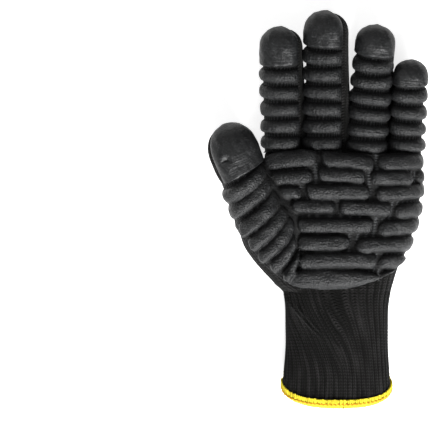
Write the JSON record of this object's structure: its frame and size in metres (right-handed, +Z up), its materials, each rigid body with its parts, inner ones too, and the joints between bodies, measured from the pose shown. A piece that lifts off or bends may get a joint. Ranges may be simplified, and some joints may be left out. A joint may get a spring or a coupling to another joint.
{
  "type": "anti vibration glove",
  "caption": "Left-hand anti-vibration work glove, a hollow knitted liner with ribbed rubber pads on its palm and fingers and a bound cuff.",
  "frame": {"origin": "middle of the glove's box in plan, on the surface that it lies on", "axes": "+X from the thumb to the little finger, +Y from the cuff to the fingertips, +Z up out of the palm; the glove lies on its back"},
  "size_m": [0.1426, 0.2594, 0.0373],
  "materials": {
    "knit": "matt ribbed knit",
    "coating": "semi-matt foamed rubber, moulded",
    "hem": "overlocked yellow yarn"
  },
  "bodies": {
    "root": {"knit_cuff": "knit", "cuff_hem": "hem", "knit_hand": "knit", "knit_thumb": "knit", "palm_coating": "coating", "thumb_cap": "coating", "knit_index": "knit", "index_sleeve": "coating", "knit_middle": "knit", "middle_sleeve": "coating", "knit_ring": "knit", "ring_sleeve": "coating", "knit_little": "knit", "little_sleeve": "coating"}
  },
  "joints": []
}
